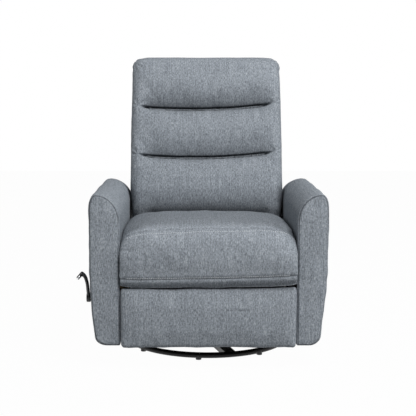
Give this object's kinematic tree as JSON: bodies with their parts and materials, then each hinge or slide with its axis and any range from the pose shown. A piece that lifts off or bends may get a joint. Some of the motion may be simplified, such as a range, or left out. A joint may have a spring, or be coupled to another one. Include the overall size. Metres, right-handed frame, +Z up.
{
  "type": "swivel glider recliner",
  "caption": "Upholstered swivel glider recliner on a round tube base, with rolled channel back, padded arms, lever-driven footrest linkage and reclining back.",
  "frame": {"origin": "on the floor under the middle of the bounding box", "axes": "+Z up, -Y the way the sitter looks, +X to the right as seen from the front"},
  "size_m": [0.8294, 0.8338, 1.0423],
  "materials": {
    "upholstery": "heathered linen-look weave, matte",
    "black_steel": "satin black powder coat",
    "zinc_steel": "bright zinc plate",
    "plywood": "unfinished",
    "black_plastic": "satin",
    "bright_trim": "polished"
  },
  "bodies": {
    "base": {"base_ring": "black_steel", "base_cross": "black_steel", "hub_plate": "zinc_steel", "bearing_race_lower": "zinc_steel", "glide_foot_1": "black_plastic", "glide_foot_2": "black_plastic", "glide_foot_3": "black_plastic", "glide_foot_4": "black_plastic", "glide_foot_5": "black_plastic", "glide_foot_6": "black_plastic", "glide_foot_7": "black_plastic", "glide_foot_8": "black_plastic"},
    "swivel": {"bearing_race_upper": "zinc_steel", "swivel_plate": "zinc_steel", "swivel_bolt": "zinc_steel", "cradle_left": "black_steel", "cradle_right": "black_steel"},
    "glide_links_front": {"glide_link_front_left": "zinc_steel", "glide_link_front_right": "zinc_steel"},
    "glide_links_rear": {"glide_link_rear_left": "zinc_steel", "glide_link_rear_right": "zinc_steel"},
    "frame": {"carrier_left": "black_steel", "carrier_right": "black_steel", "mech_plate_left": "black_steel", "mech_plate_right": "black_steel", "arm_panel_left": "plywood", "arm_panel_right": "plywood", "arm_cover_left": "upholstery", "arm_cover_right": "upholstery", "spreader_tube_front": "black_steel", "spreader_tube_rear": "black_steel", "skirt_panel": "upholstery"},
    "footrest_drive": {"torque_tube": "zinc_steel", "lever_arm": "black_plastic", "lever_tip": "bright_trim", "footrest_drive_link_left": "zinc_steel", "footrest_drive_link_right": "zinc_steel"},
    "lift_links": {"footrest_lift_link_left": "zinc_steel", "footrest_lift_link_right": "zinc_steel"},
    "front_links": {"footrest_front_link_left": "zinc_steel", "footrest_front_link_right": "zinc_steel"},
    "footrest": {"footrest_bracket_left": "black_steel", "footrest_bracket_right": "black_steel", "footrest_board": "plywood", "footrest_pad": "upholstery"},
    "seat": {"seat_bracket_left": "black_steel", "seat_bracket_right": "black_steel", "seat_rail_left": "plywood", "seat_rail_right": "plywood", "seat_spring_left": "zinc_steel", "seat_spring_right": "zinc_steel", "seat_rail_front": "plywood", "seat_rail_rear": "plywood", "seat_cushion": "upholstery"},
    "back": {"back_bracket_left": "black_steel", "back_bracket_right": "black_steel", "back_post_left": "plywood", "back_post_right": "plywood", "back_panel": "upholstery", "back_pad": "upholstery"}
  },
  "joints": [
    {"name": "swivel_turn", "type": "hinge", "parent": "base", "child": "swivel", "pos_m": [0.02269, 0.03313, 0.034], "axis": [0, 0, 1], "continuous": true},
    {"name": "glide_swing", "type": "hinge", "parent": "swivel", "child": "glide_links_front", "pos_m": [0.02269, -0.08687, 0.165], "axis": [1, 0, 0], "range_deg": [-12, 12]},
    {"name": "glide_swing_rear", "type": "hinge", "parent": "swivel", "child": "glide_links_rear", "pos_m": [0.02269, 0.15313, 0.165], "axis": [1, 0, 0], "range_deg": [-12, 12]},
    {"name": "frame_level", "type": "hinge", "parent": "glide_links_front", "child": "frame", "pos_m": [0.02269, -0.08687, 0.075], "axis": [1, 0, 0], "range_deg": [-12, 12]},
    {"name": "footrest_unfold", "type": "hinge", "parent": "frame", "child": "footrest_drive", "pos_m": [0.02269, -0.29957, 0.228], "axis": [-1, 0, 0], "range_deg": [0, 88]},
    {"name": "lift_link_fold", "type": "hinge", "parent": "footrest_drive", "child": "lift_links", "pos_m": [0.02269, -0.28955, 0.1567], "axis": [-1, 0, 0], "range_deg": [-117, 0]},
    {"name": "front_link_fold", "type": "hinge", "parent": "footrest_drive", "child": "front_links", "pos_m": [0.02269, -0.28148, 0.09927], "axis": [-1, 0, 0], "range_deg": [-117, 0]},
    {"name": "footrest_level", "type": "hinge", "parent": "lift_links", "child": "footrest", "pos_m": [0.02269, -0.35311, 0.28144], "axis": [-1, 0, 0], "range_deg": [0, 117]},
    {"name": "back_recline", "type": "hinge", "parent": "frame", "child": "back", "pos_m": [0.02269, 0.20813, 0.3], "axis": [-1, 0, 0], "range_deg": [0, 28]},
    {"name": "seat_tilt", "type": "hinge", "parent": "frame", "child": "seat", "pos_m": [0.02269, 0.20813, 0.3], "axis": [-1, 0, 0], "range_deg": [0, 3.5]}
  ],
  "couplings": [
    {"joint": "glide_swing_rear", "follows": "glide_swing", "ratio": 1},
    {"joint": "frame_level", "follows": "glide_swing", "ratio": -1},
    {"joint": "lift_link_fold", "follows": "footrest_unfold", "ratio": -1.32},
    {"joint": "front_link_fold", "follows": "footrest_unfold", "ratio": -1.32},
    {"joint": "footrest_level", "follows": "footrest_unfold", "ratio": 1.32},
    {"joint": "seat_tilt", "follows": "back_recline", "ratio": 0.12}
  ]
}
